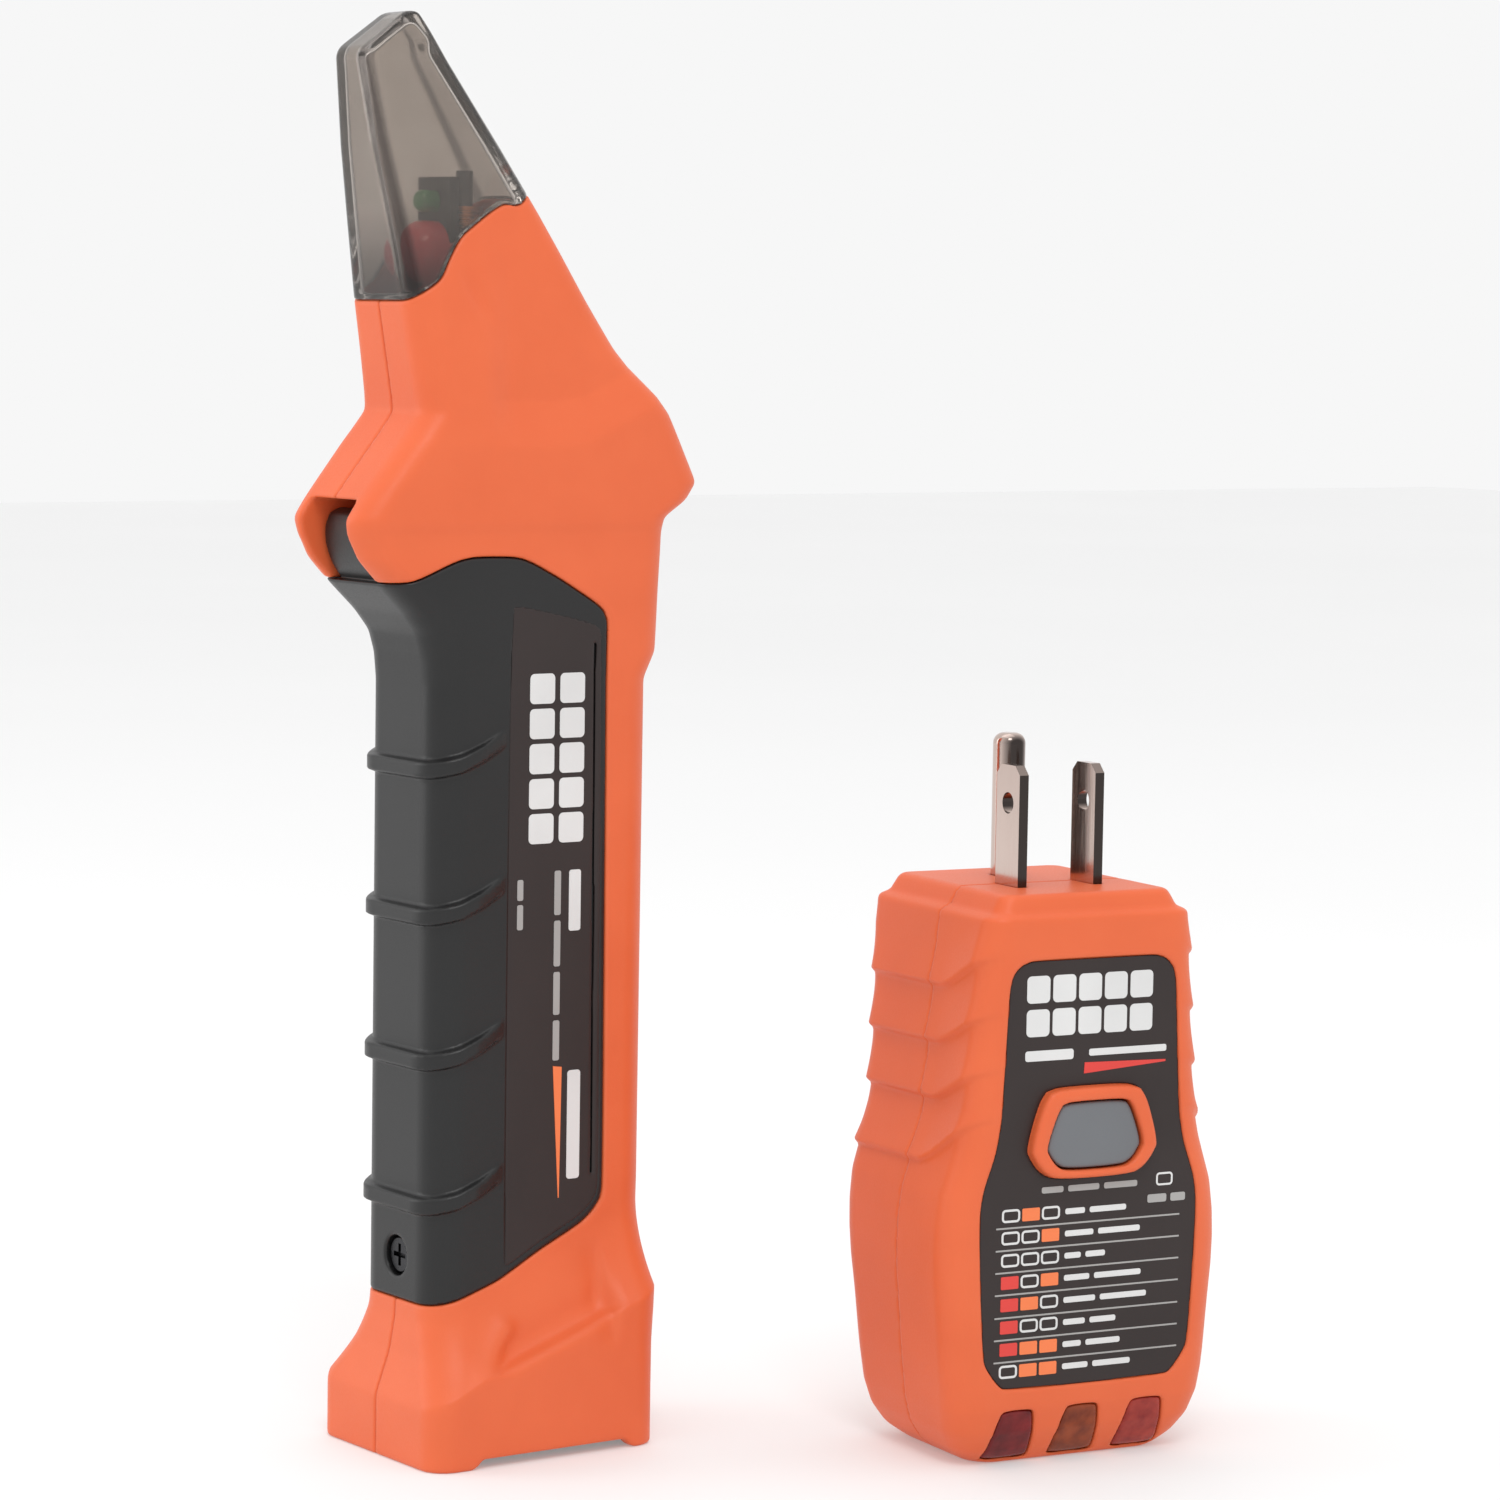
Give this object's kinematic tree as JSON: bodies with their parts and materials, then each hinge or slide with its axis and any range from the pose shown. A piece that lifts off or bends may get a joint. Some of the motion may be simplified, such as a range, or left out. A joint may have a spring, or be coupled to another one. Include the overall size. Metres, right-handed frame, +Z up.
{
  "type": "circuit breaker finder",
  "caption": "Hand-held circuit breaker finder: receiver wand with smoked nose, ribbed battery-cover grip and docking foot, beside its plug-in outlet transmitter.",
  "frame": {"origin": "centre of the footprint of the pair, on the surface they stand on", "axes": "+Z up; +X from the receiver's battery-cover side to its button side and on towards the transmitter; the receiver's wide faces look along -Y and +Y"},
  "size_m": [0.1208, 0.077, 0.2046],
  "materials": {
    "orange_abs": "fine moulded texture, satin orange ABS",
    "black_grip": "soft-touch black overmould, satin",
    "black_plastic": "black moulded plastic, matte",
    "panel_film": "printed polycarbonate film, satin",
    "smoke_clear": "smoked clear polycarbonate",
    "steel": "zinc-plated steel",
    "nickel": "nickel-plated brass, polished",
    "grey_button": "grey moulded plastic, smooth",
    "dark_button": "dark grey silicone rubber",
    "battery_jacket": "lacquered metal jacket",
    "board_green": "green solder mask",
    "chip_black": "moulded epoxy",
    "copper": "enamelled copper wire",
    "ferrite": "ferrite ceramic",
    "led_red": "tinted clear epoxy",
    "led_green": "tinted clear epoxy",
    "lens_red": "tinted clear acrylic",
    "lens_amber": "tinted clear acrylic",
    "diffuser": "milky diffuser",
    "foam": "closed-cell foam",
    "wire": "PVC insulated wire",
    "blue_part": "epoxy-dipped component"
  },
  "bodies": {
    "receiver": {"receiver_shell_right": "orange_abs", "receiver_shell_left": "orange_abs", "nose_lens": "smoke_clear", "receiver_case_screws": "steel", "battery_9v": "battery_jacket", "battery_terminals": "nickel", "battery_snap": "black_plastic", "battery_foam_pad": "foam", "battery_leads": "wire", "receiver_board": "board_green", "receiver_chips": "chip_black", "power_switch": "black_plastic", "receiver_sounder": "chip_black", "nose_board": "chip_black", "nose_led_red": "led_red", "nose_led_green": "led_green", "pickup_coil": "copper", "pickup_core": "ferrite", "nose_diffuser": "diffuser", "dock_socket": "black_plastic"},
    "battery_cover": {"battery_cover": "black_grip", "grip_panel_right": "panel_film", "grip_panel_left": "panel_film"},
    "cover_screw": {"battery_cover_screw": "steel"},
    "power_button": {"power_button": "dark_button"},
    "transmitter": {"transmitter_front_shell": "orange_abs", "transmitter_back_shell": "orange_abs", "transmitter_label": "panel_film", "indicator_lens_left": "lens_red", "indicator_lens_middle": "lens_amber", "indicator_lens_right": "lens_red", "test_button_switch": "black_plastic", "transmitter_board": "board_green", "transmitter_led_board": "board_green", "transmitter_leds": "diffuser", "transmitter_capacitor": "blue_part", "transmitter_resistor": "blue_part", "transmitter_coil": "copper", "blade_left": "nickel", "blade_right": "nickel", "ground_pin": "nickel", "prong_carrier": "black_plastic", "transmitter_case_screws": "steel"},
    "test_button": {"test_button": "grey_button"}
  },
  "joints": [
    {"name": "transmitter_lift", "type": "slide", "parent": "receiver", "child": "transmitter", "axis": [0, 0, 1], "range_m": [0, 0.12]},
    {"name": "cover_swing", "type": "hinge", "parent": "receiver", "child": "battery_cover", "pos_m": [-0.05459, 0.02229, 0.135], "axis": [0, 1, 0], "range_deg": [0, 35]},
    {"name": "cover_screw_back_out", "type": "slide", "parent": "battery_cover", "child": "cover_screw", "axis": [-1, 0, 0], "range_m": [0, 0.004]},
    {"name": "power_button_press", "type": "slide", "parent": "receiver", "child": "power_button", "axis": [-1, 0, 0], "range_m": [0, 0.00035], "stiffness_N_per_m": 800, "springref_m": -0.0005},
    {"name": "test_button_press", "type": "slide", "parent": "transmitter", "child": "test_button", "axis": [0.1381, 0.9904, 0], "range_m": [0, 0.001], "stiffness_N_per_m": 600, "springref_m": -0.0005}
  ]
}
